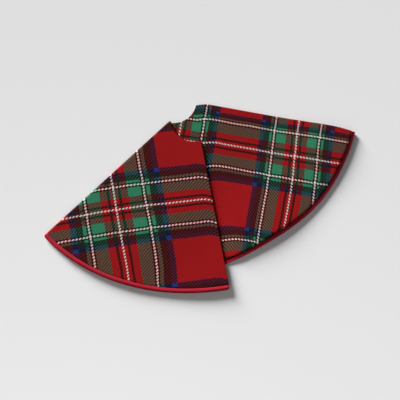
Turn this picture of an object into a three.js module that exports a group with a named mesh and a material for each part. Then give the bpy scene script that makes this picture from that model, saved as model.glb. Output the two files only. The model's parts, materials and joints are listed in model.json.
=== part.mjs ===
// Round tartan tree skirt with one slit, lined and piped, put away in two folds.
//
// The open skirt is a ring of cloth, face up, with a slit from the trunk hole to the rim.
// First fold, the half fold: in half along the slit's own line, lining inside.
// Second fold, the flap fold: the slit end is turned over onto the top, past the trunk hole.
// Four leaves lie on each other, each of face cloth and lining:
//   level 0  outer half, main leaf, face down
//   level 1  inner half, main leaf, face up
//   level 2  inner half, flap, face down
//   level 3  outer half, flap, face up
// Millimetres, +Z up. Angles are in degrees from +X, as seen from above.

import * as THREE from "three";

// The skirt as cut
const SKIRT_RADIUS = 605;
const TRUNK_HOLE_RADIUS = 77;
const SLIT_OVERLAP = 11;
const TWO_LOBE_WANDER = 0.02;
const THREE_LOBE_WANDER = 0.024;
const THREE_LOBE_ANGLE = 18.4;

// The two folds
const HALF_FOLD_ANGLE = 169;
const FLAP_FOLD_ANGLE = 224.6;
const FLAP_FOLD_FROM_HOLE_CENTRE = 49.5;

// Thicknesses
const FACE_CLOTH = 2.4;
const LINING_CLOTH = 1.2;
const GAP = 0.3;

// Facings and piping
const FACING_WIDTH = 25;
const PIPING_WIDTH = 11;
const PIPING_WALL = 0.7;
const PIPING_SEAM_GAP = 0.5;
const PIPING_END_GAP = 1;

// How finely the round edges are divided
const RIM_STEP = 3.1;
const HOLE_STEP = 7.5;
const PIPING_CORNERS = 4;
const FOLD_CORNERS = 6;

// Worked out from the above
const LEAF = FACE_CLOTH + GAP + LINING_CLOTH;
const LEVEL = LEAF + GAP;
const HALF_FOLD_HEIGHT = LEVEL - GAP / 2;
const FLAP_FOLD_HEIGHT = 2 * LEVEL - GAP / 2;
const HALF_FOLD_INSET = HALF_FOLD_HEIGHT;

const radians = THREE.MathUtils.degToRad;

const tartan = { color: 0x96191c, roughness: 0.95, metalness: 0 };
const liningRed = { color: 0x6e1018, roughness: 0.85, metalness: 0 };
const facingRed = { color: 0x7c1420, roughness: 0.85, metalness: 0 };
const pipingRed = { color: 0xa5192d, roughness: 0.8, metalness: 0 };
const cordWhite = { color: 0xe6e0d6, roughness: 0.9, metalness: 0 };

function piece(name, geometry, finish) {
  const mesh = new THREE.Mesh(geometry, new THREE.MeshStandardMaterial(finish));
  mesh.name = name;
  return mesh;
}

// The rim wanders a little from a true circle, as a cloth edge cut and sewn by hand does.
function rimRadius(angle) {
  const fromFold = angle - FLAP_FOLD_ANGLE;
  const twoLobes = TWO_LOBE_WANDER * Math.cos(radians(2 * fromFold));
  const threeLobes = THREE_LOBE_WANDER * Math.cos(radians(3 * (fromFold - THREE_LOBE_ANGLE)));
  return SKIRT_RADIUS * (1 + twoLobes + threeLobes);
}

const circle = (radius) => () => radius;

function polar(radius, angle) {
  return new THREE.Vector2(Math.cos(radians(angle)), Math.sin(radians(angle))).multiplyScalar(radius);
}

// An edge runs parallel to the ray at its angle, its offset to the left of that ray.
// This is the angle at which the edge meets a round outline.
function meets(edge, radiusAt) {
  let angle = edge.angle;
  for (let pass = 0; pass < 4; pass++) {
    angle = edge.angle + THREE.MathUtils.radToDeg(Math.asin(edge.offset / radiusAt(angle)));
  }
  return angle;
}

// Lays a point of the opened half skirt where it lies after the flap is turned over.
function turnedOver(point) {
  const across = polar(1, FLAP_FOLD_ANGLE + 90);
  const distance = point.dot(across) - FLAP_FOLD_FROM_HOLE_CENTRE;
  return point.clone().addScaledVector(across, -2 * distance);
}

const asLaid = (point) => point;

// Edges of the main leaves and of the flaps, on the opened half skirt
const mainStart = { angle: FLAP_FOLD_ANGLE, offset: FLAP_FOLD_FROM_HOLE_CENTRE + GAP };
const mainEnd = { angle: HALF_FOLD_ANGLE + 180, offset: -HALF_FOLD_INSET - GAP };
const flapStart = { angle: HALF_FOLD_ANGLE, offset: -SLIT_OVERLAP };
const flapEnd = { angle: FLAP_FOLD_ANGLE, offset: FLAP_FOLD_FROM_HOLE_CENTRE - GAP };
const facingEnd = { angle: HALF_FOLD_ANGLE, offset: FACING_WIDTH - SLIT_OVERLAP };
const flapLiningStart = { angle: HALF_FOLD_ANGLE, offset: facingEnd.offset + GAP };

function roundPoints(radiusAt, from, to, step) {
  const count = Math.max(1, Math.ceil(Math.abs(to - from) / step));
  const points = [];
  for (let i = 0; i <= count; i++) {
    const angle = from + ((to - from) * i) / count;
    points.push(polar(radiusAt(angle), angle));
  }
  return points;
}

// A flat panel of a leaf between two radii and two edges.
function panel({ inner, outer, start, end, place, bottom, thickness }) {
  const rim = roundPoints(outer, meets(start, outer), meets(end, outer), RIM_STEP);
  const hole = roundPoints(inner, meets(end, inner), meets(start, inner), HOLE_STEP);
  const outline = new THREE.Shape([...rim, ...hole].map(place));
  const geometry = new THREE.ExtrudeGeometry(outline, { depth: thickness, bevelEnabled: false });
  return geometry.translate(0, 0, bottom);
}

// The line that the piping follows, just outside the rim of one leaf.
class RimPath extends THREE.Curve {
  constructor(from, to, place, height) {
    super();
    Object.assign(this, { from, to, place, height });
  }

  getPoint(t, target = new THREE.Vector3()) {
    const angle = this.from + (this.to - this.from) * t;
    const point = this.place(polar(pipingLine(angle), angle));
    return target.set(point.x, point.y, this.height);
  }
}

function pipingLine(angle) {
  return rimRadius(angle) + PIPING_SEAM_GAP + PIPING_WIDTH / 2;
}

// Along the rim a section's first axis stands upright and its second lies across the rim.
function oval(shape, height, width) {
  return shape.absellipse(0, 0, height / 2, width / 2, 0, 2 * Math.PI);
}

function rimTube(section, path) {
  const steps = Math.ceil(Math.abs(path.to - path.from) / RIM_STEP);
  return new THREE.ExtrudeGeometry(section, {
    steps,
    curveSegments: PIPING_CORNERS,
    bevelEnabled: false,
    extrudePath: path,
  });
}

function pipingCover(path) {
  const sleeve = oval(new THREE.Shape(), LEAF, PIPING_WIDTH);
  sleeve.holes.push(oval(new THREE.Path(), LEAF - 2 * PIPING_WALL, PIPING_WIDTH - 2 * PIPING_WALL));
  return rimTube(sleeve, path);
}

function pipingCord(path) {
  const lost = 2 * (PIPING_WALL + GAP);
  return rimTube(oval(new THREE.Shape(), LEAF - lost, PIPING_WIDTH - lost), path);
}

// One leaf: face cloth, lining, the facing round the trunk hole, and the piping on the rim.
function leaf({ name, level, faceUp, main }) {
  const bottom = level * LEVEL;
  const faceBottom = faceUp ? bottom + LINING_CLOTH + GAP : bottom;
  const liningBottom = faceUp ? bottom : bottom + FACE_CLOTH + GAP;
  const place = main ? asLaid : turnedOver;
  const start = main ? mainStart : flapStart;
  const end = main ? mainEnd : flapEnd;
  const liningStart = main ? mainStart : flapLiningStart;
  const face = { place, start, end, bottom: faceBottom, thickness: FACE_CLOTH };
  const back = { place, start: liningStart, end, bottom: liningBottom, thickness: LINING_CLOTH };
  const hole = circle(TRUNK_HOLE_RADIUS);
  const facingRim = circle(TRUNK_HOLE_RADIUS + FACING_WIDTH);
  const liningHole = circle(TRUNK_HOLE_RADIUS + FACING_WIDTH + GAP);
  const pipingStart = { angle: start.angle, offset: start.offset + (main ? PIPING_END_GAP : 0) };
  const pipingEnd = { angle: end.angle, offset: end.offset - (main ? 0 : PIPING_END_GAP) };
  const pipingFrom = meets(pipingStart, pipingLine);
  const pipingTo = meets(pipingEnd, pipingLine);
  const path = new RimPath(pipingFrom, pipingTo, place, bottom + LEAF / 2);
  const pieces = [
    piece(`${name}_face`, panel({ ...face, inner: hole, outer: rimRadius }), tartan),
    piece(`${name}_lining`, panel({ ...back, inner: liningHole, outer: rimRadius }), liningRed),
    piece(`${name}_hole_facing`, panel({ ...back, inner: hole, outer: facingRim }), facingRed),
    piece(`${name}_piping_cover`, pipingCover(path), pipingRed),
    piece(`${name}_piping_cord`, pipingCord(path), cordWhite),
  ];
  if (!main) {
    const strip = { ...back, start, end: facingEnd, inner: hole, outer: rimRadius };
    pieces.push(piece(`${name}_slit_facing`, panel(strip), facingRed));
  }
  return pieces;
}

// Cloth bent half round along a fold line, from one level up to another.
function bend({ name, fold, height, innerRadius, thickness, finish }) {
  const outerRadius = innerRadius + thickness;
  const section = new THREE.Shape();
  section.absarc(0, 0, outerRadius, Math.PI / 2, (3 * Math.PI) / 2, false);
  section.absarc(0, 0, innerRadius, (3 * Math.PI) / 2, Math.PI / 2, true);
  const geometry = new THREE.ExtrudeGeometry(section, {
    depth: fold.to - fold.from,
    curveSegments: FOLD_CORNERS,
    bevelEnabled: false,
  });
  const along = polar(1, fold.angle);
  const across = polar(1, fold.angle + 90);
  const start = along.clone().multiplyScalar(fold.from).addScaledVector(across, fold.offset);
  const mesh = piece(name, geometry, finish);
  const axes = new THREE.Matrix4().makeBasis(
    new THREE.Vector3(across.x, across.y, 0),
    new THREE.Vector3(0, 0, 1),
    new THREE.Vector3(along.x, along.y, 0),
  );
  mesh.quaternion.setFromRotationMatrix(axes);
  mesh.position.set(start.x, start.y, height);
  return mesh;
}

function alongFold(radius, offset) {
  return Math.sqrt(radius ** 2 - offset ** 2);
}

const halfFold = {
  angle: HALF_FOLD_ANGLE,
  offset: HALF_FOLD_INSET,
  from: -alongFold(rimRadius(HALF_FOLD_ANGLE + 180), HALF_FOLD_INSET),
  to: -alongFold(TRUNK_HOLE_RADIUS, HALF_FOLD_INSET),
};

const flapFold = {
  angle: FLAP_FOLD_ANGLE,
  offset: FLAP_FOLD_FROM_HOLE_CENTRE,
  from: alongFold(TRUNK_HOLE_RADIUS, FLAP_FOLD_FROM_HOLE_CENTRE),
  to: alongFold(rimRadius(FLAP_FOLD_ANGLE), FLAP_FOLD_FROM_HOLE_CENTRE),
};

// The layers that a fold bends, from its middle outwards.
function bends(prefix, fold, height, layers) {
  let innerRadius = GAP / 2;
  return layers.map(({ suffix, thickness, finish }) => {
    const name = `${prefix}_${suffix}`;
    const mesh = bend({ name, fold, height, innerRadius, thickness, finish });
    innerRadius += thickness + GAP;
    return mesh;
  });
}

const skirt = new THREE.Group();

skirt.add(
  ...leaf({ name: "outer_half_main", level: 0, faceUp: false, main: true }),
  ...leaf({ name: "inner_half_main", level: 1, faceUp: true, main: true }),
  ...leaf({ name: "inner_half_flap", level: 2, faceUp: false, main: false }),
  ...leaf({ name: "outer_half_flap", level: 3, faceUp: true, main: false }),
);

skirt.add(
  ...bends("half_fold", halfFold, HALF_FOLD_HEIGHT, [
    { suffix: "lining", thickness: LINING_CLOTH, finish: liningRed },
    { suffix: "face", thickness: FACE_CLOTH, finish: tartan },
  ]),
);

skirt.add(
  ...bends("flap_fold", flapFold, FLAP_FOLD_HEIGHT, [
    { suffix: "inner_face", thickness: FACE_CLOTH, finish: tartan },
    { suffix: "inner_lining", thickness: LINING_CLOTH, finish: liningRed },
    { suffix: "outer_lining", thickness: LINING_CLOTH, finish: liningRed },
    { suffix: "outer_face", thickness: FACE_CLOTH, finish: tartan },
  ]),
);

// The folded skirt stands on the middle of the underside of its own box.
const box = new THREE.Box3().setFromObject(skirt);
const middle = box.getCenter(new THREE.Vector3());
skirt.position.set(-middle.x, -middle.y, -box.min.z);

export default skirt;
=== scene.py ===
# A round tartan tree skirt, lined and piped, put away in two folds.
# Plans are worked out in millimetres round the middle of the trunk hole, and meshes are in metres.
import json
import math

import bmesh
import bpy
import numpy as np
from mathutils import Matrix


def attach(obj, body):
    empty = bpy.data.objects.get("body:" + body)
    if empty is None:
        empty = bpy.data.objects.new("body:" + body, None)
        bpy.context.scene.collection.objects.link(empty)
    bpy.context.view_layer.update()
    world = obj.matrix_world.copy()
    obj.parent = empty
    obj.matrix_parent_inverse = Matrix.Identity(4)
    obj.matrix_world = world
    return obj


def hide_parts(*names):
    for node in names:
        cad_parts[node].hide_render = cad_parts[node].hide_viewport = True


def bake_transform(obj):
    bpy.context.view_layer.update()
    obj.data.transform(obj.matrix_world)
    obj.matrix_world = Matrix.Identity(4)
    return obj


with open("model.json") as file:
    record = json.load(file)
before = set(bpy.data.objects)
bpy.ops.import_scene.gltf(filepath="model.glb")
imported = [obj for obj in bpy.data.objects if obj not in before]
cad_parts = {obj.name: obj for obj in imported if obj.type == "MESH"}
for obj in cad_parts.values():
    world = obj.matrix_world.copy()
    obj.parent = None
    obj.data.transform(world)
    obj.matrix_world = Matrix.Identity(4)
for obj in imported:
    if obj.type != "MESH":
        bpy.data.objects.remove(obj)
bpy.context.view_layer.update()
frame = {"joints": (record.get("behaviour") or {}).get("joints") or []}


# ---- Studio -----------------------------------------------------------------------------------
# The skirt lies on a pale table. A low softbox at the far left throws short shadows to the near
# right, and the room fills them.
CAMERA_AIM = (-0.0059, -0.0060)
CAMERA_DISTANCE = 6.0
CAMERA_ELEVATION = 71
LENS = 162.2
TABLE_SIZE = 14
TABLE_GREY = 0.80
KEY_AZIMUTH = 128
KEY_ELEVATION = 21
KEY_STRENGTH = 6.7
KEY_WIDTH = 27
FILL_STRENGTH = 20
FILL_SIZE = 2.5
FILL_PLACE = (-0.5, -2.3, 1.9)
FILL_TILT = 50
FILL_TURN = -12
ROOM_STRENGTH = 0.08

scene = bpy.context.scene
scene.view_settings.view_transform = "Standard"

camera = bpy.data.objects.new("camera", bpy.data.cameras.new("camera"))
elevation = math.radians(CAMERA_ELEVATION)
camera.location = (
    CAMERA_AIM[0],
    CAMERA_AIM[1] - CAMERA_DISTANCE * math.cos(elevation),
    CAMERA_DISTANCE * math.sin(elevation),
)
camera.rotation_euler = (math.radians(90 - CAMERA_ELEVATION), 0, 0)
camera.data.lens = LENS
camera.data.sensor_width = 36
scene.collection.objects.link(camera)
scene.camera = camera

key = bpy.data.objects.new("key_light", bpy.data.lights.new("key_light", "SUN"))
key.data.energy = KEY_STRENGTH
key.data.angle = math.radians(KEY_WIDTH)
key.rotation_euler = (math.radians(90 - KEY_ELEVATION), 0, math.radians(KEY_AZIMUTH + 90))
scene.collection.objects.link(key)

fill = bpy.data.objects.new("fill_light", bpy.data.lights.new("fill_light", "AREA"))
fill.data.energy = FILL_STRENGTH
fill.data.size = FILL_SIZE
fill.location = FILL_PLACE
fill.rotation_euler = (math.radians(FILL_TILT), 0, math.radians(FILL_TURN))
scene.collection.objects.link(fill)

scene.world = bpy.data.worlds.new("room")
scene.world.use_nodes = True
room = scene.world.node_tree.nodes["Background"]
room.inputs["Color"].default_value = (1, 1, 1, 1)
room.inputs["Strength"].default_value = ROOM_STRENGTH

bpy.ops.mesh.primitive_plane_add(size=TABLE_SIZE, location=(0, 0, 0))
table = bpy.context.object
table.name = "table"
table_paint = bpy.data.materials.new("table_paint")
table_paint.use_nodes = True
table_bsdf = table_paint.node_tree.nodes["Principled BSDF"]
table_bsdf.inputs["Base Color"].default_value = (TABLE_GREY, TABLE_GREY, TABLE_GREY, 1)
table_bsdf.inputs["Roughness"].default_value = 0.9
table_bsdf.inputs["Specular IOR Level"].default_value = 0.1
table.data.materials.append(table_paint)


# ---- Face cloth: four leaves ---------------------------------------------------------------------
# Brushed wool-look tartan in 2/2 twill. Each half of the skirt is cut on its own, so the two halves'
# tartans don't run alike. A half passes through both folds, and here it is its main leaf and its flap.
SKIRT_RADIUS = 605
TRUNK_HOLE_RADIUS = 77
SLIT_OVERLAP = 11
TWO_LOBE_WANDER = 0.02
THREE_LOBE_WANDER = 0.024
THREE_LOBE_ANGLE = 18.4
HALF_FOLD_ANGLE = 169
HALF_FOLD_BULGE = 14
HALF_FOLD_LOOSE = 34

# The half fold's slack starts past the hole and ends before the rim
SLACK_FROM = 60
SLACK_GROWS_OVER = 60
SLACK_TO = 700
SLACK_FADES_OVER = 160

# The rim that the flap leaves uncovered stands fuller, and buckles
RIM_LOFT = 1.25
RIM_LOFT_FROM = 330
RIM_LOFT_GROWS_OVER = 250
RIM_BUCKLE = 0.25
RIM_CREST_ANGLE = -55
RIM_WAVE = 38
RIM_BULGE = 9
RIM_BULGE_ANGLE = -38
FOLD_FROM_HOLE_CENTRE = 49.5
FACE_CLOTH = 2.4
LINING_CLOTH = 1.2
GAP = 0.3
LEAF = FACE_CLOTH + GAP + LINING_CLOTH
LEVEL = LEAF + GAP
HALF_FOLD_HEIGHT = LEVEL - GAP / 2
FLAP_FOLD_HEIGHT = 2 * LEVEL - GAP / 2

# How far the face cloth's sides lie outwards from the middle of its leaf
OUTSIDE = LEAF / 2
INSIDE = LEAF / 2 - FACE_CLOTH
TURNED_EDGE = 2.6
RIM_ROLL = 6
SEAM_DEPTH = 0.1
CLOTH_STEP = 8

fold = frame["joints"][0]
fold_along = np.array(fold["axis"][:2])
fold_across = np.array([-fold_along[1], fold_along[0]])
fold_angle = math.degrees(math.atan2(fold_along[1], fold_along[0])) % 360
hole_centre = np.array(fold["pos_m"][:2]) - fold_across * FOLD_FROM_HOLE_CENTRE / 1000

# The slit edge and the trunk hole's middle where they lie on the turned flap
SLIT_ON_FLAP = 2 * fold_angle - HALF_FOLD_ANGLE
flap_hole_centre = 2 * FOLD_FROM_HOLE_CENTRE * fold_across

LEAVES = {
    "outer_half_main": {"level": 0, "face_up": False, "main": True, "half": "outer"},
    "inner_half_main": {"level": 1, "face_up": True, "main": True, "half": "inner"},
    "inner_half_flap": {"level": 2, "face_up": False, "main": False, "half": "inner"},
    "outer_half_flap": {"level": 3, "face_up": True, "main": False, "half": "outer"},
}


def unit(angle):
    """The direction of an angle in degrees."""
    return np.stack([np.cos(np.radians(angle)), np.sin(np.radians(angle))], -1)


def rim_radius(angle):
    """The rim wanders a little from a true circle, as a cloth edge cut by hand does."""
    turn = np.radians(angle - fold_angle)
    two_lobes = TWO_LOBE_WANDER * np.cos(2 * turn)
    three_lobes = THREE_LOBE_WANDER * np.cos(3 * (turn - math.radians(THREE_LOBE_ANGLE)))
    return SKIRT_RADIUS * (1 + two_lobes + three_lobes)


def meets(edge, radius_at):
    """The angle at which an edge, (angle, offset to the left), meets a round outline."""
    angle, offset = edge
    found = angle
    for _ in range(6):
        found = angle + math.degrees(math.asin(offset / radius_at(found)))
    return found


def smooth(value):
    value = np.clip(value, 0, 1)
    return value * value * (3 - 2 * value)


def edge_steps(length, step, near, far):
    """Distances along a cut, closer together at those of its two ends that are turned or rolled."""
    fine = np.array([0, 0.3, 0.9, 1.7, TURNED_EDGE, 3.1, 6, 11])
    low = fine if near else np.array([0.0])
    high = fine if far else np.array([0.0])
    count = max(2, round((length - low[-1] - high[-1]) / step))
    middle = np.linspace(low[-1], length - high[-1], count + 1)[1:-1]
    return np.concatenate([low, middle, length - high[::-1]])


def panel_plan(start, end, inner, outer, fine_rims=False, fine_start=False):
    """Rows of points from the hole outwards, each from the start edge to the end edge."""
    width = float(outer(start[0]) - inner(start[0]))
    steps = edge_steps(width, CLOTH_STEP, fine_rims, fine_rims)
    cut_steps = edge_steps(100, CLOTH_STEP, True, False)[:8] if fine_start else np.array([0.0])
    span = math.radians(abs(meets(end, outer) - meets(start, outer)))
    columns = max(3, round(span * float(outer(start[0])) / CLOTH_STEP))
    rows = []
    for step in steps:

        def radius_at(angle, step=step):
            spread = smooth((step - 12) / (width - 24)) if fine_rims else step / width
            return inner(angle) + step + spread * (outer(angle) - inner(angle) - width)

        first = [meets((start[0], start[1] + cut), radius_at) for cut in cut_steps]
        last = meets(end, radius_at)
        angles = np.concatenate([first[:-1], np.linspace(first[-1], last, columns + 1)])
        rows.append(unit(angles) * radius_at(angles)[:, None])
    return np.array(rows)


def lay(points):
    """Points as sewn and folded flat, in millimetres, to where the loose cloth lies, in metres."""
    points = np.asarray(points, float)
    along = points[..., :2] @ unit(HALF_FOLD_ANGLE + 180)
    from_fold = -HALF_FOLD_HEIGHT - points[..., :2] @ unit(HALF_FOLD_ANGLE - 90)
    slack = smooth((along - SLACK_FROM) / SLACK_GROWS_OVER) * smooth((SLACK_TO - along) / SLACK_FADES_OVER)
    bulge = HALF_FOLD_BULGE * slack * np.clip(1 - from_fold / HALF_FOLD_LOOSE, 0, 1) ** 2
    angle = np.degrees(np.arctan2(points[..., 1], points[..., 0]))
    distance = np.hypot(points[..., 0], points[..., 1])
    pulled = RIM_BULGE * smooth(1 - np.abs(angle - RIM_BULGE_ANGLE) / 24) * smooth((distance - 300) / 250)
    points = points.copy()
    points[..., :2] += bulge[..., None] * unit(HALF_FOLD_ANGLE - 90) + pulled[..., None] * unit(angle)
    x, y = points[..., 0], points[..., 1]
    clear_of_fold = smooth((x * fold_across[0] + y * fold_across[1] - FOLD_FROM_HOLE_CENTRE) / 90)
    swell = 0.5 + 0.3 * np.sin(x / 61 + y / 97) + 0.2 * np.sin(x / 43 - y / 71 + 2)
    past_flap = (points[..., :2] - flap_hole_centre) @ unit(SLIT_ON_FLAP + 90) - SLIT_OVERLAP
    full_rim = smooth((distance - RIM_LOFT_FROM) / RIM_LOFT_GROWS_OVER) * smooth((past_flap + 5) / 70)
    buckle = 1 + RIM_BUCKLE * np.cos(np.radians((angle - RIM_CREST_ANGLE) * 360 / RIM_WAVE))
    loft = 0.10 * clear_of_fold * swell + RIM_LOFT * full_rim * buckle
    out = smooth((np.hypot(x, y) - 250) / 350)
    ripple = 0.5 + 0.5 * np.sin(x / 83 - y / 58 + 0.6)
    lift = clear_of_fold * (0.5 * swell + 1.6 * out * ripple)
    height = points[..., 2] * (1 + loft) + lift
    flat = points[..., :2] / 1000 + hole_centre
    return np.concatenate([flat, height[..., None] / 1000], -1)


def turned_over(plan):
    """The opened half skirt's points where they lie after the flap is turned over."""
    distance = plan @ fold_across - FOLD_FROM_HOLE_CENTRE
    return plan - 2 * distance[..., None] * fold_across


def leaf_points(leaf, plan, outwards):
    """A plan of the opened skirt in the place of a leaf, so far outwards from the leaf's middle."""
    place = plan if leaf["main"] else turned_over(plan)
    side = 1 if leaf["face_up"] else -1
    height = leaf["level"] * LEVEL + LEAF / 2 + side * (outwards + np.zeros(plan.shape[:2]))
    return np.concatenate([place, height[..., None]], -1)


class Shell:
    """Closed cloth, built up from sheets of two matching sides."""

    def __init__(self):
        self.points = []
        self.faces = []
        self.cloth = []

    def side(self, points, cloth):
        start = len(self.points)
        rows, columns = points.shape[:2]
        self.points.extend(points.reshape(-1, 3))
        self.cloth.extend(cloth.reshape(-1, 2))
        return start + np.arange(rows * columns).reshape(rows, columns)

    def quads(self, a, b):
        for i in range(len(a) - 1):
            self.faces.append((a[i], a[i + 1], b[i + 1], b[i]))

    def sheet(self, outside, inside, cloth, walls=(True, True)):
        """Two grids of points make both sides of the cloth, and walls join them at its edges."""
        top = self.side(outside, cloth)
        under = self.side(inside, cloth)
        for grid in (top, under):
            for i in range(len(grid) - 1):
                self.quads(grid[i], grid[i + 1])
        self.quads(top[0], under[0])
        self.quads(top[-1], under[-1])
        for column, wall in zip((0, -1), walls):
            if wall:
                self.quads(top[:, column], under[:, column])

    def rod(self, rings, cloth):
        """A run of rings, capped at both ends. A ring's last point is its first one again."""
        grid = self.side(rings, cloth)
        for i in range(len(grid) - 1):
            self.quads(grid[i], grid[i + 1])
        self.faces.append(tuple(grid[0][:-1]))
        self.faces.append(tuple(grid[-1][:-1]))

    def finish(self, name, material):
        mesh = bpy.data.meshes.new(name)
        mesh.from_pydata([tuple(p) for p in lay(self.points)], [], [tuple(map(int, f)) for f in self.faces])
        layer = mesh.uv_layers.new(name="cloth")
        corners = np.zeros(len(mesh.loops), int)
        mesh.loops.foreach_get("vertex_index", corners)
        layer.data.foreach_set("uv", np.array(self.cloth)[corners].astype(np.float32).ravel())
        work = bmesh.new()
        work.from_mesh(mesh)
        bmesh.ops.remove_doubles(work, verts=work.verts, dist=2e-6)
        bmesh.ops.dissolve_degenerate(work, dist=1e-7, edges=work.edges)
        bmesh.ops.recalc_face_normals(work, faces=work.faces)
        for face in work.faces:
            face.smooth = True
        work.to_mesh(mesh)
        work.free()
        mesh.set_sharp_from_angle(angle=math.radians(50))
        mesh.materials.append(material)
        piece = bpy.data.objects.new(name, mesh)
        scene.collection.objects.link(piece)
        return piece


# Each half's white lines: the direction across them, their spacing, and the first one's place
INNER_UPRIGHT_LINES = (-8.9, 76.2, 354.0)
INNER_LEVEL_LINES = (-100.8, 79.7, 39.8)
INNER_LEVEL_SPACING = INNER_LEVEL_LINES[1]
OUTER_UPRIGHT_ANGLE = 10.2
OUTER_UPRIGHT_SPACING = 100.9
OUTER_UPRIGHT_FIRST = 409.3
OUTER_LEVEL_ANGLE = -83.0
OUTER_LEVEL_SPACING = 78.6
OUTER_LEVEL_FIRST = 205.2

# How far the weft is dragged at the slit edge and at the rim, and taken up at the half fold
SLIT_DRAG = 11
SLIT_DRAG_REACH = 55
RIM_DRAG = 11
TAKEN_UP = 35
TAKEN_UP_REACH = 31
TAKEN_UP_FROM_HOLE = 70
TAKEN_UP_GROWS_OVER = 90

# How far the outer half's weft sags, dips and runs short, and its warp is pulled at the rim
WEFT_SAG = 30
WEFT_SAG_FROM = -207.5
WEFT_SAG_OVER = 620
HEM_DIP = 10
HEM_DIP_REACH = 38
TOP_SHORT = 26
TOP_SHORT_FROM = 85
TOP_SHORT_OVER = 70
WARP_PULL = 10


def white_lines(plan, direction, spacing, first):
    """How many spacings a point lies past the first white line of one family."""
    return (plan @ unit(direction) - first) / spacing


def inner_tartan(plan):
    """The inner half's tartan: its white lines are nearly upright and nearly level.

    Cloth is taken up over the half fold's soft edge, but not beside the trunk hole. The weft is dragged
    by the flap's slit edge.
    """
    past_slit = (plan - flap_hole_centre) @ unit(SLIT_ON_FLAP + 90) - SLIT_OVERLAP
    along = plan @ unit(INNER_UPRIGHT_LINES[0])
    distance = np.hypot(plan[..., 0], plan[..., 1])
    drag = SLIT_DRAG * np.clip(1 - past_slit / SLIT_DRAG_REACH, 0, 1) ** 2
    drag = drag - RIM_DRAG * smooth((distance - 480) / 110) * smooth((480 - along) / 200)
    from_fold = plan @ unit(HALF_FOLD_ANGLE - 90) + HALF_FOLD_HEIGHT + TAKEN_UP_REACH
    along_fold = plan @ unit(HALF_FOLD_ANGLE + 180) - TAKEN_UP_FROM_HOLE
    taken_up = TAKEN_UP * smooth(from_fold / TAKEN_UP_REACH)
    taken_up = taken_up * smooth(along_fold / TAKEN_UP_GROWS_OVER)
    upright = white_lines(plan, *INNER_UPRIGHT_LINES)
    level = white_lines(plan, *INNER_LEVEL_LINES) - (drag + taken_up) / INNER_LEVEL_SPACING
    return np.stack([upright, 2 - level], -1)


def outer_tartan(plan):
    """The outer half's tartan, on the flap as it lies: one way it is stretched by a third.

    The weft sags to the left, dips into the slit's hem, and runs short at the top of the flap.
    """
    across = plan @ unit(OUTER_UPRIGHT_ANGLE)
    down = plan @ unit(OUTER_LEVEL_ANGLE)
    distance = np.hypot(plan[..., 0], plan[..., 1])
    sag = WEFT_SAG * smooth((WEFT_SAG_FROM - across) / WEFT_SAG_OVER)
    dip = HEM_DIP * np.clip(1 - (SLIT_OVERLAP - across) / HEM_DIP_REACH, 0, 1) ** 2
    short = TOP_SHORT * smooth((TOP_SHORT_FROM - down) / TOP_SHORT_OVER)
    pulled = WARP_PULL * smooth((distance - 490) / 110) * smooth((across + 300) / 100)
    upright = (across + pulled + OUTER_UPRIGHT_FIRST) / OUTER_UPRIGHT_SPACING
    level = (down - sag - dip - short - OUTER_LEVEL_FIRST) / OUTER_LEVEL_SPACING
    return np.stack([upright, level], -1)


def mirrored(plan):
    return plan - 2 * (plan @ fold_across)[..., None] * fold_across


# The cloth that each fold's bend takes up, measured along the middle of the cloth
outer_bend_arc = math.pi * (FLAP_FOLD_HEIGHT - FACE_CLOTH / 2)
inner_bend_arc = math.pi * (GAP / 2 + FACE_CLOTH / 2)
half_bend_radius = HALF_FOLD_HEIGHT - FACE_CLOTH / 2


def tartan_at(name, plan):
    """The tartan's own coordinates over a leaf."""
    if name == "inner_half_main":
        return inner_tartan(plan)
    if name == "inner_half_flap":
        return inner_tartan(plan - fold_across * inner_bend_arc)
    if name == "outer_half_flap":
        return outer_tartan(mirrored(plan))
    return outer_tartan(mirrored(plan) - fold_across * outer_bend_arc)


class Shade:
    """A socket of a material's nodes. Arithmetic on it adds Math nodes; node() adds any other node."""

    def __init__(self, tree, socket=None):
        self.tree = tree
        self.socket = socket

    def node(self, kind, settings, inputs, output=0):
        made = self.tree.nodes.new(kind)
        for name, value in settings.items():
            if name == "stops":
                ramp = made.color_ramp
                while len(ramp.elements) < len(value):
                    ramp.elements.new(0.5)
                for element, (position, colour) in zip(ramp.elements, value):
                    element.position = position
                    element.color = (*colour, 1)
            elif name == "interpolation":
                made.color_ramp.interpolation = value
            else:
                setattr(made, name, value)
        for name, value in inputs.items():
            if isinstance(value, Shade):
                self.tree.links.new(value.socket, made.inputs[name])
            elif value is not None:
                made.inputs[name].default_value = value
        return Shade(self.tree, made.outputs[output])

    def sum(self, operation, *values):
        return self.node("ShaderNodeMath", {"operation": operation}, dict(enumerate(values)))

    def __add__(self, other):
        return self.sum("ADD", self, other)

    __radd__ = __add__

    def __sub__(self, other):
        return self.sum("SUBTRACT", self, other)

    def __rsub__(self, other):
        return self.sum("SUBTRACT", other, self)

    def __mul__(self, other):
        return self.sum("MULTIPLY", self, other)

    __rmul__ = __mul__

    def __truediv__(self, other):
        return self.sum("DIVIDE", self, other)

    def __lt__(self, other):
        return self.sum("LESS_THAN", self, other)

    def __gt__(self, other):
        return self.sum("GREATER_THAN", self, other)

    def mix(self, share, other):
        """This colour, and so much of the other."""
        settings = {"data_type": "RGBA"}
        return self.node("ShaderNodeMix", settings, {0: share, 6: self, 7: other}, 2)

    def dimmed(self, share):
        """This colour times a value."""
        settings = {"operation": "SCALE"}
        return self.node("ShaderNodeVectorMath", settings, {0: self, "Scale": share})


def linear(*rgb):
    """A screen colour, 0 to 255 a channel, as the light it sends."""
    return tuple(((c / 255 + 0.055) / 1.055) ** 2.4 if c > 10 else c / 255 / 12.92 for c in rgb)


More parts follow.
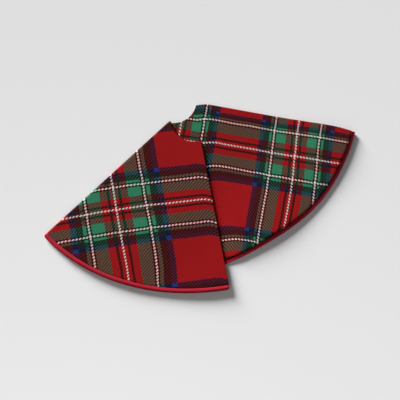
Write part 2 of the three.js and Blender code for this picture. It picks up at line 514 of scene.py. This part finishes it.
def new_cloth(name, roughness, sheen):
    """A material and its Principled shader, with what is the same all over it set."""
    material = bpy.data.materials.new(name)
    material.use_nodes = True
    bsdf = material.node_tree.nodes["Principled BSDF"]
    bsdf.inputs["Roughness"].default_value = roughness
    bsdf.inputs["Sheen Weight"].default_value = sheen
    bsdf.inputs["Sheen Roughness"].default_value = 0.5
    bsdf.inputs["Specular IOR Level"].default_value = 0.12
    return material, bsdf, Shade(material.node_tree)


YARNS = {
    "red": linear(144, 8, 12),
    "green": linear(44, 116, 84),
    "black": linear(22, 22, 26),
    "blue": linear(26, 42, 104),
    "white": linear(216, 200, 194),
}

# Half of the sett, from the middle white line to the middle of the wide red: (yarn, threads)
SETT = [
    ("white", 1), ("red", 3), ("black", 3), ("red", 7), ("green", 13), ("black", 2), ("white", 2),
    ("black", 2), ("green", 3), ("black", 7), ("blue", 5), ("red", 29),
]
SETT_THREADS = 30

# Lightness above which a thread counts as white, and below which as black, or as dark beside red
WHITE_FROM = 0.3
BLACK_BELOW = 0.012
DARK_BELOW = 0.035
RED_BELOW = 0.1
BRUSHED_OVER = 0.4


def sett_stops():
    half = sum(threads for _, threads in SETT)
    stops = []
    reached = 0
    for yarn, threads in SETT:
        stops.append((reached / half, YARNS[yarn]))
        reached += threads
    return stops, half


def tartan_cloth(name, warp_threads, weft_threads):
    """Two families of coloured threads in 2/2 twill, so many between white lines, brushed over."""
    material, bsdf, root = new_cloth(name, 0.95, 0.04)
    stops, half = sett_stops()
    cloth = root.node("ShaderNodeUVMap", {"uv_map": "cloth"}, {})
    across = root.node("ShaderNodeSeparateXYZ", {}, {0: cloth}, 0)
    along = root.node("ShaderNodeSeparateXYZ", {}, {0: cloth}, 1)
    place = root.node("ShaderNodeTexCoord", {}, {}, "Object")
    sway = root.node("ShaderNodeTexNoise", {}, {"Vector": place, "Scale": 14, "Detail": 2}, "Fac")
    fibre = root.node("ShaderNodeTexNoise", {}, {"Vector": place, "Scale": 700, "Detail": 3}, "Fac")
    nap = root.node("ShaderNodeTexNoise", {}, {"Vector": place, "Scale": 230, "Detail": 4}, "Fac")
    warp = (across - 1) * warp_threads + (sway - 0.5) * 2
    weft = (along - 1) * weft_threads + (sway - 0.5) * 2
    warp_thread = root.sum("FLOOR", warp)
    weft_thread = root.sum("FLOOR", weft)
    step = root.sum("FLOORED_MODULO", warp_thread + weft_thread, 4)
    warp_on_top = step < 1.5
    colours = []
    for thread, threads in ((warp_thread, warp_threads), (weft_thread, weft_threads)):
        along_sett = root.sum("PINGPONG", (thread + 0.5) * (SETT_THREADS / threads), half) / half
        settings = {"stops": stops, "interpolation": "CONSTANT"}
        colours.append(root.node("ShaderNodeValToRGB", settings, {0: along_sett}))
    warp_colour, weft_colour = colours
    lights = []
    for thread_colour in (warp_colour, weft_colour):
        settings = {"operation": "DOT_PRODUCT"}
        light = root.node("ShaderNodeVectorMath", settings, {0: thread_colour, 1: (0.3, 0.6, 0.1)}, 1)
        lights.append(light)
    warp_light, weft_light = lights
    difference = warp_light - weft_light
    mixed = root.sum("ABSOLUTE", difference) > 0.002
    most = root.sum("MAXIMUM", warp_light, weft_light)
    least = root.sum("MINIMUM", warp_light, weft_light)
    white = most > WHITE_FROM
    dark_in_red = (least < DARK_BELOW) * (most < RED_BELOW)
    black = root.sum("MAXIMUM", least < BLACK_BELOW, dark_in_red)
    warp_is_lighter = difference > 0
    lighter_on_top = 1 - root.sum("ABSOLUTE", warp_is_lighter - warp_on_top)
    brushed = BRUSHED_OVER * mixed * (1 - white)
    top = weft_colour.mix(warp_on_top + brushed * (1 - 2 * warp_on_top), warp_colour)
    # Where warp and weft differ in colour, the threads are painted darker: a painted shade for the gaps
    # between the crossing threads. It is lighter where the lighter thread is on top and deeper at black or
    # dark-beside-red crossings.
    shade = 1 - mixed * (1 - white) * (0.7 - 0.5 * lighter_on_top + 0.28 * black)
    texture = 0.50 + 0.24 * fibre + 0.76 * nap
    warmed = root.node("ShaderNodeVectorMath", {"operation": "MULTIPLY"}, {0: top, 1: (1.03, 0.78, 0.94)})
    top = top.mix(mixed * (1 - white) * (1 - black), warmed)
    colour = top.dimmed(shade * texture)
    material.node_tree.links.new(colour.socket, bsdf.inputs["Base Color"])
    warp_place = warp - warp_thread - 0.5
    weft_place = weft - weft_thread - 0.5
    warp_round = 1 - 4 * warp_place * warp_place
    weft_round = 1 - 4 * weft_place * weft_place
    thread_round = warp_round * warp_on_top + weft_round * (1 - warp_on_top)
    height = 0.55 * thread_round + 0.5 * fibre
    settings = {"Height": height, "Strength": 0.55, "Distance": 0.0005}
    bump = root.node("ShaderNodeBump", {}, settings)
    material.node_tree.links.new(bump.socket, bsdf.inputs["Normal"])
    return material


tartans = {
    "inner": tartan_cloth("inner_tartan_cloth", 29, 29),
    "outer": tartan_cloth("outer_tartan_cloth", 34, 29),
}

main_start = (fold_angle, FOLD_FROM_HOLE_CENTRE + GAP)
main_end = (HALF_FOLD_ANGLE + 180, -HALF_FOLD_HEIGHT)
flap_start = (HALF_FOLD_ANGLE, -SLIT_OVERLAP)
flap_end = (fold_angle, FOLD_FROM_HOLE_CENTRE - GAP)


def hole_edge(angle):
    return TRUNK_HOLE_RADIUS + 0 * np.asarray(angle, float)


def round_edge(distance, width):
    """How full the cloth is so far in from an edge that is rolled over this width, 0 to 1."""
    return np.sqrt(1 - (1 - np.clip(distance / width, 0, 1)) ** 2)


def from_hole(plan):
    return np.hypot(plan[..., 0], plan[..., 1]) - TRUNK_HOLE_RADIUS


def from_rim(plan):
    angle = np.degrees(np.arctan2(plan[..., 1], plan[..., 0])) % 360
    return rim_radius(angle) - np.hypot(plan[..., 0], plan[..., 1])


def from_slit(plan):
    return plan @ unit(HALF_FOLD_ANGLE + 90) + SLIT_OVERLAP


def face_sides(plan, has_slit):
    """How far outwards the two sides of the face cloth lie, with its turned and rolled edges."""
    turned = round_edge(from_hole(plan), TURNED_EDGE)
    inside_edge = from_hole(plan)
    if has_slit:
        turned = np.minimum(turned, round_edge(from_slit(plan), TURNED_EDGE))
        inside_edge = np.minimum(inside_edge, from_slit(plan))
    rolled = SEAM_DEPTH + (OUTSIDE - SEAM_DEPTH) * round_edge(from_rim(plan), RIM_ROLL)
    outside = np.minimum(OUTSIDE * turned, rolled)
    inside = np.where(inside_edge < TURNED_EDGE + 0.2, -OUTSIDE * turned, INSIDE)
    return outside, np.minimum(inside, outside - 0.1)


def flat_size(plan):
    """A panel's flat width and length in metres, and its flat area in square metres."""
    flat = plan / 1000
    low = flat.reshape(-1, 2).min(0)
    high = flat.reshape(-1, 2).max(0)
    one = flat[1:, 1:] - flat[:-1, :-1]
    two = flat[1:, :-1] - flat[:-1, 1:]
    area = np.abs(one[..., 0] * two[..., 1] - one[..., 1] * two[..., 0]).sum() / 2
    return (float(high[0] - low[0]), float(high[1] - low[1])), float(area)


def declare_sheet(plan):
    size, area = flat_size(plan)


face_plans = {}
faces = {}
for name, leaf in LEAVES.items():
    start, end = (main_start, main_end) if leaf["main"] else (flap_start, flap_end)
    plan = panel_plan(start, end, hole_edge, rim_radius, True, not leaf["main"])
    outside, inside = face_sides(plan, not leaf["main"])
    shell = Shell()
    shell.sheet(
        leaf_points(leaf, plan, outside), leaf_points(leaf, plan, inside), tartan_at(name, plan)
    )
    piece = shell.finish(name + "_face_cloth", tartans[leaf["half"]])
    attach(piece, "main_leaves" if leaf["main"] else "flap")
    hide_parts(name + "_face")
    face_plans[name] = (plan, outside, inside)
    faces[name] = piece


# ---- Face cloth: the bends -------------------------------------------------------------------------
# At the flap fold the outer half's cloth rolls round the inner half's. At the half fold the two
# halves are sewn together, and their seam lies along the middle of the bend.
BEND_STEPS = 12
half_turn = np.linspace(0, math.pi, BEND_STEPS + 1)

# A fold: the way its bend bulges, how far that way its axis lies, its height, and where the leaf
# that the bend is wound from lies, 1 above the axis or -1 below it
FLAP_FOLD = (-fold_across, -FOLD_FROM_HOLE_CENTRE, FLAP_FOLD_HEIGHT, -1)
HALF_FOLD = (unit(HALF_FOLD_ANGLE - 90), -HALF_FOLD_HEIGHT, HALF_FOLD_HEIGHT, 1)


def wound(fold_line, plan, radius, turn):
    """Points of a leaf's edge, so far from the fold's axis, wound round it by a turn."""
    bulge, reach, height, side = fold_line
    out = plan @ bulge - reach
    new_out = out * np.cos(turn) + radius * np.sin(turn)
    up = side * (radius * np.cos(turn) - out * np.sin(turn))
    place = plan + (new_out - out)[..., None] * bulge
    return np.concatenate([place, (height + up)[..., None]], -1)


def wound_sheet(fold_line, line, radii, turns):
    """Both sides of a strip of cloth wound from a line of points along a fold."""
    grids = []
    bulge, reach, height, side = fold_line
    out = (line @ bulge - reach)[:, None]
    for radius in radii:
        new_out = out * np.abs(np.cos(turns)) + radius[:, None] * np.sin(turns)
        place = line[:, None] + (new_out - out)[..., None] * bulge
        up = height + side * radius[:, None] * np.cos(turns)
        grids.append(np.concatenate([place, up[..., None]], -1))
    return grids


def fold_radii(fold_line, name, outwards):
    """How far from a fold's axis both sides of a leaf's cloth lie."""
    leaf = LEAVES[name]
    side = 1 if leaf["face_up"] else -1
    middle = leaf["level"] * LEVEL + LEAF / 2
    return [np.abs(middle + side * out - fold_line[2]) for out in outwards]


def blend_over_flap_fold(piece, radii):
    """The piece is wound from the main leaves to the flap; this bakes its transform into its mesh."""
    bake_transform(piece)


def outer_bend_tartan(line, turn):
    arc = (math.pi - turn) / math.pi * outer_bend_arc
    return outer_tartan(mirrored(line)[:, None] - fold_across * arc[:, None])


def inner_bend_tartan(line, turn):
    arc = turn / math.pi * inner_bend_arc
    return inner_tartan(line[:, None] - fold_across * arc[:, None])


bend_faces = {"outer": [], "inner": []}
for half, tartan_cut in (("outer", outer_bend_tartan), ("inner", inner_bend_tartan)):
    plan, outside, inside = face_plans[half + "_half_main"]
    line = plan[:, 0]
    radii = fold_radii(FLAP_FOLD, half + "_half_main", (outside[:, 0], inside[:, 0]))
    shell = Shell()
    shell.sheet(*wound_sheet(FLAP_FOLD, line, radii, half_turn), tartan_cut(line, half_turn))
    piece = shell.finish("flap_fold_" + half + "_face_cloth", tartans[half])
    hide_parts("flap_fold_" + half + "_face")
    blend_over_flap_fold(piece, radii)
    bend_faces[half].append(piece)

plan, outside, inside = face_plans["inner_half_main"]
line = plan[:, -1]
radii = fold_radii(HALF_FOLD, "inner_half_main", (outside[:, -1], inside[:, -1]))
half_bend_turn = half_turn[: BEND_STEPS // 2 + 1]
shell = Shell()
for name, turns, walls in (
    ("inner_half_main", half_bend_turn, (True, False)),
    ("outer_half_main", math.pi - half_bend_turn, (True, False)),
):
    arc = np.minimum(turns, math.pi - turns) * half_bend_radius
    cut = tartan_at(name, line[:, None] + HALF_FOLD[0] * arc[:, None])
    shell.sheet(*wound_sheet(HALF_FOLD, line, radii, turns), cut, walls)
half_fold_face = shell.finish("half_fold_face_cloth", tartans["inner"])
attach(half_fold_face, "main_leaves")
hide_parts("half_fold_face")
bend_faces["inner"].append(half_fold_face)

for name, leaf in LEAVES.items():
    joined = bend_faces[leaf["half"]] if leaf["main"] else []
    rests_on = [faces["inner_half_main"]] if name == "inner_half_flap" else []
    declare_sheet(face_plans[name][0])


# ---- Linings -----------------------------------------------------------------------------------
# Plain-woven dark red cotton backs each leaf, from its facings out to the piping seam. It is cut
# with the face cloth and passes through both folds inside it.
FACING_WIDTH = 25
LINING_SHY = 1
LINING_THREAD = 0.6
FACING_SHY = 3
LINING_SIDES = (INSIDE - GAP, -OUTSIDE)


def plain_cloth(name, colour, thread, bias, sheen):
    """One colour of thread in plain weave: over one, under one."""
    material, bsdf, root = new_cloth(name, 0.85, sheen)
    cloth = root.node("ShaderNodeUVMap", {"uv_map": "cloth"}, {})
    settings = {"rotation_type": "Z_AXIS"}
    angle = math.radians(bias)
    turned = root.node("ShaderNodeVectorRotate", settings, {"Vector": cloth, "Angle": angle})
    across = root.node("ShaderNodeSeparateXYZ", {}, {0: turned}, 0) / (thread / 1000)
    along = root.node("ShaderNodeSeparateXYZ", {}, {0: turned}, 1) / (thread / 1000)
    place = root.node("ShaderNodeTexCoord", {}, {}, "Object")
    fibre = root.node("ShaderNodeTexNoise", {}, {"Vector": place, "Scale": 1400, "Detail": 2}, "Fac")
    wear = root.node("ShaderNodeTexNoise", {}, {"Vector": place, "Scale": 35, "Detail": 3}, "Fac")
    across_thread = root.sum("FLOOR", across)
    along_thread = root.sum("FLOOR", along)
    over = root.sum("FLOORED_MODULO", across_thread + along_thread, 2)
    across_place = across - across_thread - 0.5
    along_place = along - along_thread - 0.5
    across_round = 1 - 4 * across_place * across_place
    along_round = 1 - 4 * along_place * along_place
    height = across_round * over + along_round * (1 - over)
    base = root.node("ShaderNodeRGB", {}, {})
    base.socket.default_value = (*colour, 1)
    # The colour is painted lighter on each thread's crown and darker where it dips under the next, a
    # painted shade of the weave; fibre and wear noise vary it at random.
    shaded = base.dimmed(0.72 + 0.14 * height + 0.16 * fibre + 0.16 * wear)
    material.node_tree.links.new(shaded.socket, bsdf.inputs["Base Color"])
    settings = {"Height": height + 0.4 * fibre, "Strength": 0.5, "Distance": thread / 4000}
    bump = root.node("ShaderNodeBump", {}, settings)
    material.node_tree.links.new(bump.socket, bsdf.inputs["Normal"])
    return material


lining_cloth = plain_cloth("lining_cloth", linear(112, 14, 24), LINING_THREAD, 0, 0.05)
flap_lining_start = (HALF_FOLD_ANGLE, FACING_WIDTH - SLIT_OVERLAP + GAP)


def facing_rim(angle):
    return hole_edge(angle) + FACING_WIDTH


def lining_hole(angle):
    return facing_rim(angle) + GAP


def lining_rim(angle):
    return rim_radius(angle) - LINING_SHY


def backing(name, leaf, plan, material):
    """A sheet of cloth on the lining side of a leaf."""
    high, low = (np.full(plan.shape[:2], side) for side in LINING_SIDES)
    shell = Shell()
    shell.sheet(leaf_points(leaf, plan, high), leaf_points(leaf, plan, low), plan / 1000)
    piece = shell.finish(name, material)
    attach(piece, "main_leaves" if leaf["main"] else "flap")
    return piece


linings = {}
lining_plans = {}
for name, leaf in LEAVES.items():
    start, end = (main_start, main_end) if leaf["main"] else (flap_lining_start, flap_end)
    plan = panel_plan(start, end, lining_hole, lining_rim)
    piece = backing(name + "_lining_cloth", leaf, plan, lining_cloth)
    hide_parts(name + "_lining")
    linings[name] = piece
    lining_plans[name] = plan

plan = face_plans["inner_half_main"][0]
backed = from_hole(plan[:, 0]) > FACING_SHY
for half in ("outer", "inner"):
    line = plan[backed, 0]
    sides = [np.full(len(line), side) for side in LINING_SIDES]
    radii = fold_radii(FLAP_FOLD, half + "_half_main", sides)
    cut = line[:, None] - fold_across * (half_turn * np.mean(radii))[:, None]
    shell = Shell()
    shell.sheet(*wound_sheet(FLAP_FOLD, line, radii, half_turn), cut / 1000)
    piece = shell.finish("flap_fold_" + half + "_lining_cloth", lining_cloth)
    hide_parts("flap_fold_" + half + "_lining")
    blend_over_flap_fold(piece, radii)
    linings["flap_" + half] = piece

backed = from_hole(plan[:, -1]) > FACING_SHY
line = plan[backed, -1]
sides = [np.full(len(line), side) for side in LINING_SIDES]
radii = fold_radii(HALF_FOLD, "inner_half_main", sides)
cut = line[:, None] + HALF_FOLD[0] * (half_turn * np.mean(radii))[:, None]
shell = Shell()
shell.sheet(*wound_sheet(HALF_FOLD, line, radii, half_turn), cut / 1000)
piece = shell.finish("half_fold_lining_cloth", lining_cloth)
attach(piece, "main_leaves")
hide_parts("half_fold_lining")
linings["half_fold"] = piece


# ---- Facings -------------------------------------------------------------------------------------
# Strips of red cotton cut on the bias, sewn to the trunk hole's edge and the slit edges and turned
# to the lining side, a little shy of the edge.
FACING_THREAD = 0.7
facing_cloth = plain_cloth("facing_cloth", linear(126, 16, 30), FACING_THREAD, 45, 0.08)
slit_facing_start = (HALF_FOLD_ANGLE, FACING_SHY - SLIT_OVERLAP)
slit_facing_end = (HALF_FOLD_ANGLE, FACING_WIDTH - SLIT_OVERLAP)


def facing_hole(angle):
    return hole_edge(angle) + FACING_SHY


facings = {name: [] for name in LEAVES}
for name, leaf in LEAVES.items():
    start, end = (main_start, main_end) if leaf["main"] else (flap_lining_start, flap_end)
    strips = [("hole_facing", start, end, facing_rim)]
    if not leaf["main"]:
        strips.append(("slit_facing", slit_facing_start, slit_facing_end, lining_rim))
    for strip, first, last, outer in strips:
        plan = panel_plan(first, last, facing_hole, outer)
        piece = backing(name + "_" + strip + "_cloth", leaf, plan, facing_cloth)
        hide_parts(name + "_" + strip)
        facings[name].append(piece)

for name, leaf in LEAVES.items():
    joined = list(facings[name])
    if leaf["main"]:
        joined.append(linings["flap_" + leaf["half"]])
    if name == "inner_half_main":
        joined.append(linings["half_fold"])
    declare_sheet(lining_plans[name])


# ---- Stitches ------------------------------------------------------------------------------------
# Red cotton thread catches the facings down to the lining, 2 mm in from their inner edges. It is a
# running hand stitch, pulled just snug.
STITCH_INSET = 2
STITCH_PITCH = 6
STITCH_LENGTH = 3.2
STITCH_RADIUS = 0.12
STITCH_PATH_STEP = 2
SLIT_STITCHES_END = 580


def stitch_thread():
    material, bsdf, root = new_cloth("stitch_thread", 0.7, 0.1)
    place = root.node("ShaderNodeTexCoord", {}, {}, "Object")
    fibre = root.node("ShaderNodeTexNoise", {}, {"Vector": place, "Scale": 3000, "Detail": 2}, "Fac")
    base = root.node("ShaderNodeRGB", {}, {})
    base.socket.default_value = (*linear(150, 20, 34), 1)
    shaded = base.dimmed(0.7 + 0.6 * fibre)
    material.node_tree.links.new(shaded.socket, bsdf.inputs["Base Color"])
    return material


def stitch_tree(thread):
    """Nodes that lay short lengths of thread along a path."""
    tree = bpy.data.node_groups.new("running_stitch", "GeometryNodeTree")
    tree.interface.new_socket("Geometry", in_out="OUTPUT", socket_type="NodeSocketGeometry")
    tree.interface.new_socket("Geometry", in_out="INPUT", socket_type="NodeSocketGeometry")
    for name in ("Pitch", "Stitch Length", "Thread Radius"):
        tree.interface.new_socket(name, in_out="INPUT", socket_type="NodeSocketFloat")
    given = tree.nodes.new("NodeGroupInput")
    result = tree.nodes.new("NodeGroupOutput")
    curve = tree.nodes.new("GeometryNodeMeshToCurve")
    spaced = tree.nodes.new("GeometryNodeResampleCurve")
    spaced.mode = "LENGTH"
    line = tree.nodes.new("GeometryNodeCurvePrimitiveLine")
    line.mode = "DIRECTION"
    line.inputs["Direction"].default_value = (1, 0, 0)
    circle = tree.nodes.new("GeometryNodeCurvePrimitiveCircle")
    circle.inputs["Resolution"].default_value = 6
    stitch = tree.nodes.new("GeometryNodeCurveToMesh")
    stitch.inputs["Fill Caps"].default_value = True
    tangent = tree.nodes.new("GeometryNodeInputTangent")
    turn = tree.nodes.new("FunctionNodeAlignRotationToVector")
    turn.axis = "X"
    placed = tree.nodes.new("GeometryNodeInstanceOnPoints")
    real = tree.nodes.new("GeometryNodeRealizeInstances")
    dressed = tree.nodes.new("GeometryNodeSetMaterial")
    dressed.inputs["Material"].default_value = thread
    for source, plug, target, socket in (
        (given, "Geometry", curve, "Mesh"),
        (curve, "Curve", spaced, "Curve"),
        (given, "Pitch", spaced, "Length"),
        (given, "Stitch Length", line, "Length"),
        (given, "Thread Radius", circle, "Radius"),
        (line, "Curve", stitch, "Curve"),
        (circle, "Curve", stitch, "Profile Curve"),
        (tangent, "Tangent", turn, "Vector"),
        (spaced, "Curve", placed, "Points"),
        (stitch, "Mesh", placed, "Instance"),
        (turn, "Rotation", placed, "Rotation"),
        (placed, "Instances", real, "Geometry"),
        (real, "Geometry", dressed, "Geometry"),
        (dressed, "Geometry", result, "Geometry"),
    ):
        tree.links.new(source.outputs[plug], target.inputs[socket])
    return tree


def stitched(name, paths, tree):
    """A plain mesh of stitches along paths, each a run of points in metres."""
    points = np.concatenate(paths)
    edges = []
    start = 0
    for path in paths:
        edges.extend((start + i, start + i + 1) for i in range(len(path) - 1))
        start += len(path)
    mesh = bpy.data.meshes.new(name + "_path")
    mesh.from_pydata([tuple(p) for p in points], edges, [])
    piece = bpy.data.objects.new(name, mesh)
    scene.collection.objects.link(piece)
    modifier = piece.modifiers.new("stitches", "NODES")
    modifier.node_group = tree
    sizes = {"Pitch": STITCH_PITCH, "Stitch Length": STITCH_LENGTH, "Thread Radius": STITCH_RADIUS}
    for item in tree.interface.items_tree:
        if item.in_out == "INPUT" and item.name in sizes:
            modifier[item.identifier] = sizes[item.name] / 1000
    graph = bpy.context.evaluated_depsgraph_get()
    made = bpy.data.meshes.new_from_object(piece.evaluated_get(graph))
    piece.modifiers.remove(modifier)
    piece.data = made
    made.name = name
    return piece


STITCH_OUT = -OUTSIDE - GAP / 2
stitch_paths = {"main_leaves": [], "flap": []}
for name, leaf in LEAVES.items():
    start, end = (main_start, main_end) if leaf["main"] else (flap_lining_start, flap_end)
    radius = TRUNK_HOLE_RADIUS + FACING_WIDTH - STITCH_INSET
    first = meets(start, lambda angle: radius)
    last = meets(end, lambda angle: radius)
    count = round(math.radians(last - first) * radius / STITCH_PATH_STEP)
    runs = [unit(np.linspace(first + 1, last - 1, count)) * radius]
    if not leaf["main"]:
        along = np.arange(radius + STITCH_PITCH, SLIT_STITCHES_END, STITCH_PATH_STEP)
        inset = FACING_WIDTH - SLIT_OVERLAP - STITCH_INSET
        runs.append(along[:, None] * unit(HALF_FOLD_ANGLE) + inset * unit(HALF_FOLD_ANGLE + 90))
    for run in runs:
        path = lay(leaf_points(leaf, run[None], np.full((1, len(run)), STITCH_OUT))[0])
        stitch_paths["main_leaves" if leaf["main"] else "flap"].append(path)

running_stitch = stitch_tree(stitch_thread())
for body, paths in stitch_paths.items():
    stitches = stitched(body + "_facing_stitches", paths, running_stitch)
    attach(stitches, body)


# ---- Piping ----------------------------------------------------------------------------------------
# A bias strip of crimson cotton is folded round a thick cotton cord and sewn into the rim seam. It
# runs on round both folds, and its ends are tucked in at the slit.
PIPING_WIDTH = 11
# Each leaf's piping: its width, its height and how far outwards of the leaf's middle it lies
PIPING_SIZES = {
    "outer_half_main": (11, 2.6, 0.45),
    "inner_half_main": (11, 2.6, -1.95),
    "inner_half_flap": (14.5, 3.6, 0.15),
    "outer_half_flap": (12, 5.4, 0.75),
}
PIPING_WALL = 0.7
PIPING_SEAM_GAP = 0.3
PIPING_STEP = 5
PIPING_SIDES = 20
PIPING_THREAD = 0.8
TUCK = 9
CORD_STRANDS = 3
CORD_LAY = 14
SLEEVE_GIRTH = 0.028
HALF_FOLD_PIPING_RISE = 2

piping_cloth = plain_cloth("piping_cloth", linear(172, 16, 40), PIPING_THREAD, 45, 0.15)


def piping_line(angle):
    return rim_radius(angle) + PIPING_SEAM_GAP + PIPING_WIDTH / 2


def piping_section(size, shrink, lobes=0.0, twist=0.0):
    """Points round the piping: how far out across the rim, and how far outwards from the leaf."""
    width, height, raised = size
    around = np.linspace(0, 2 * math.pi, PIPING_SIDES + 1)
    beyond = (width - PIPING_WIDTH) / 2
    wide = width / 2 - shrink
    tall = height / 2 - shrink
    ripple = 1 - lobes * (1 - np.cos(CORD_STRANDS * around + twist)) / 2
    thin_at_seam = 0.74 + 0.26 * np.cos(around)
    out = beyond + wide * np.cos(around) * ripple
    return out, raised + tall * np.sin(around) * thin_at_seam * ripple


def piping_run(name, shrink, lobes=0.0):
    """Rings along a leaf's rim, and the way along it to each ring."""
    leaf = LEAVES[name]
    start, end = (main_start, main_end) if leaf["main"] else (flap_start, flap_end)
    first = meets(start, piping_line)
    last = meets(end, piping_line)
    count = round(math.radians(last - first) * SKIRT_RADIUS / PIPING_STEP)
    rings = []
    ways = []
    for angle in np.linspace(first, last, count + 1):
        way = math.radians(angle - first) * SKIRT_RADIUS
        ends = 1.0 if leaf["main"] else 0.45 + 0.55 * float(round_edge(way, TUCK))
        out, outwards = piping_section(PIPING_SIZES[name], shrink, lobes, way / CORD_LAY)
        plan = unit(angle) * (piping_line(angle) + out * ends)[:, None]
        rings.append(leaf_points(leaf, plan[None], (outwards * ends)[None])[0])
        ways.append(way)
    return np.array(rings), np.array(ways)


def piping_bend(fold_line, from_name, to_name, edge, shrink, lobes=0.0):
    """Rings round a fold, from one leaf's piping to the other's."""
    angle = meets(edge, piping_line)
    middle, further_out = fold_radii(fold_line, from_name, (0.0, 1.0))
    rings = []
    ways = []
    for turn in half_turn:
        share = float(smooth(turn / math.pi))
        size = [a + (b - a) * share for a, b in zip(PIPING_SIZES[from_name], PIPING_SIZES[to_name])]
        if fold_line is HALF_FOLD:
            size[2] += HALF_FOLD_PIPING_RISE * math.sin(turn)
        out, outwards = piping_section(size, shrink, lobes, turn * middle / CORD_LAY)
        plan = unit(angle) * (piping_line(angle) + out)[:, None]
        radius = middle + (further_out - middle) * outwards
        rings.append(wound(fold_line, plan, radius, turn + 0 * out))
        ways.append(turn * middle)
    return np.array(rings), np.array(ways)


def sleeve(name, outer, inner, ways):
    """A cloth sleeve between an outer and an inner run of rings."""
    around = np.linspace(0, SLEEVE_GIRTH, PIPING_SIDES + 1)
    cloth = np.stack(np.broadcast_arrays((ways / 1000)[:, None], around[None]), -1)
    shell = Shell()
    shell.sheet(outer, inner, cloth, (False, False))
    return shell.finish(name, piping_cloth)


for name, leaf in LEAVES.items():
    outer, ways = piping_run(name, 0)
    inner, _ = piping_run(name, PIPING_WALL)
    piece = sleeve(name + "_piping_sleeve", outer, inner, ways)
    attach(piece, "main_leaves" if leaf["main"] else "flap")
    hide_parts(name + "_piping_cover")

BENDS = {
    "flap_fold_outer": (FLAP_FOLD, "outer_half_main", "outer_half_flap", main_start),
    "flap_fold_inner": (FLAP_FOLD, "inner_half_main", "inner_half_flap", main_start),
    "half_fold": (HALF_FOLD, "inner_half_main", "outer_half_main", main_end),
}
for name, bend in BENDS.items():
    outer, ways = piping_bend(*bend, 0)
    inner, _ = piping_bend(*bend, PIPING_WALL)
    piece = sleeve(name + "_piping_sleeve", outer, inner, ways)
    if name == "half_fold":
        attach(piece, "main_leaves")
    else:
        radii = [np.abs(outer[..., 2] - FLAP_FOLD_HEIGHT)]
        blend_over_flap_fold(piece, radii)


# ---- Piping cord --------------------------------------------------------------------------------
# Three-strand cotton cord fills the piping. It is laid in before the sleeve is sewn shut, runs on
# round both folds, and can't be seen until a seam is opened.
CORD_LOBES = 0.16
CORD_GIRTH = 0.02


def cotton_cord():
    """Off-white strands, twisted, with a dull cotton surface."""
    material, bsdf, root = new_cloth("cotton_cord", 0.9, 0.1)
    cloth = root.node("ShaderNodeUVMap", {"uv_map": "cloth"}, {})
    along = root.node("ShaderNodeSeparateXYZ", {}, {0: cloth}, 0)
    around = root.node("ShaderNodeSeparateXYZ", {}, {0: cloth}, 1)
    place = root.node("ShaderNodeTexCoord", {}, {}, "Object")
    fibre = root.node("ShaderNodeTexNoise", {}, {"Vector": place, "Scale": 1100, "Detail": 3}, "Fac")
    ply = root.sum("SINE", along * (6000 / CORD_LAY) + around * 700)
    base = root.node("ShaderNodeRGB", {}, {})
    base.socket.default_value = (*linear(226, 219, 204), 1)
    # The colour is painted darker in the grooves between the twisted strands, a painted shade, and varied
    # at random by fibre noise.
    shaded = base.dimmed(0.78 + 0.08 * ply + 0.2 * fibre)
    material.node_tree.links.new(shaded.socket, bsdf.inputs["Base Color"])
    settings = {"Height": ply + fibre, "Strength": 0.5, "Distance": 0.0003}
    bump = root.node("ShaderNodeBump", {}, settings)
    material.node_tree.links.new(bump.socket, bsdf.inputs["Normal"])
    return material


cord_cotton = cotton_cord()


def cord_piece(name, rings, ways):
    around = np.linspace(0, CORD_GIRTH, PIPING_SIDES + 1)
    cloth = np.stack(np.broadcast_arrays((ways / 1000)[:, None], around[None]), -1)
    shell = Shell()
    shell.rod(rings, cloth)
    piece = shell.finish(name, cord_cotton)
    return piece


for name, leaf in LEAVES.items():
    piece = cord_piece(name + "_cotton_cord", *piping_run(name, PIPING_WALL + GAP, CORD_LOBES))
    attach(piece, "main_leaves" if leaf["main"] else "flap")
    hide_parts(name + "_piping_cord")

for name, bend in BENDS.items():
    rings, ways = piping_bend(*bend, PIPING_WALL + GAP, CORD_LOBES)
    piece = cord_piece(name + "_cotton_cord", rings, ways)
    if name == "half_fold":
        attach(piece, "main_leaves")
    else:
        blend_over_flap_fold(piece, [np.abs(rings[..., 2] - FLAP_FOLD_HEIGHT)])
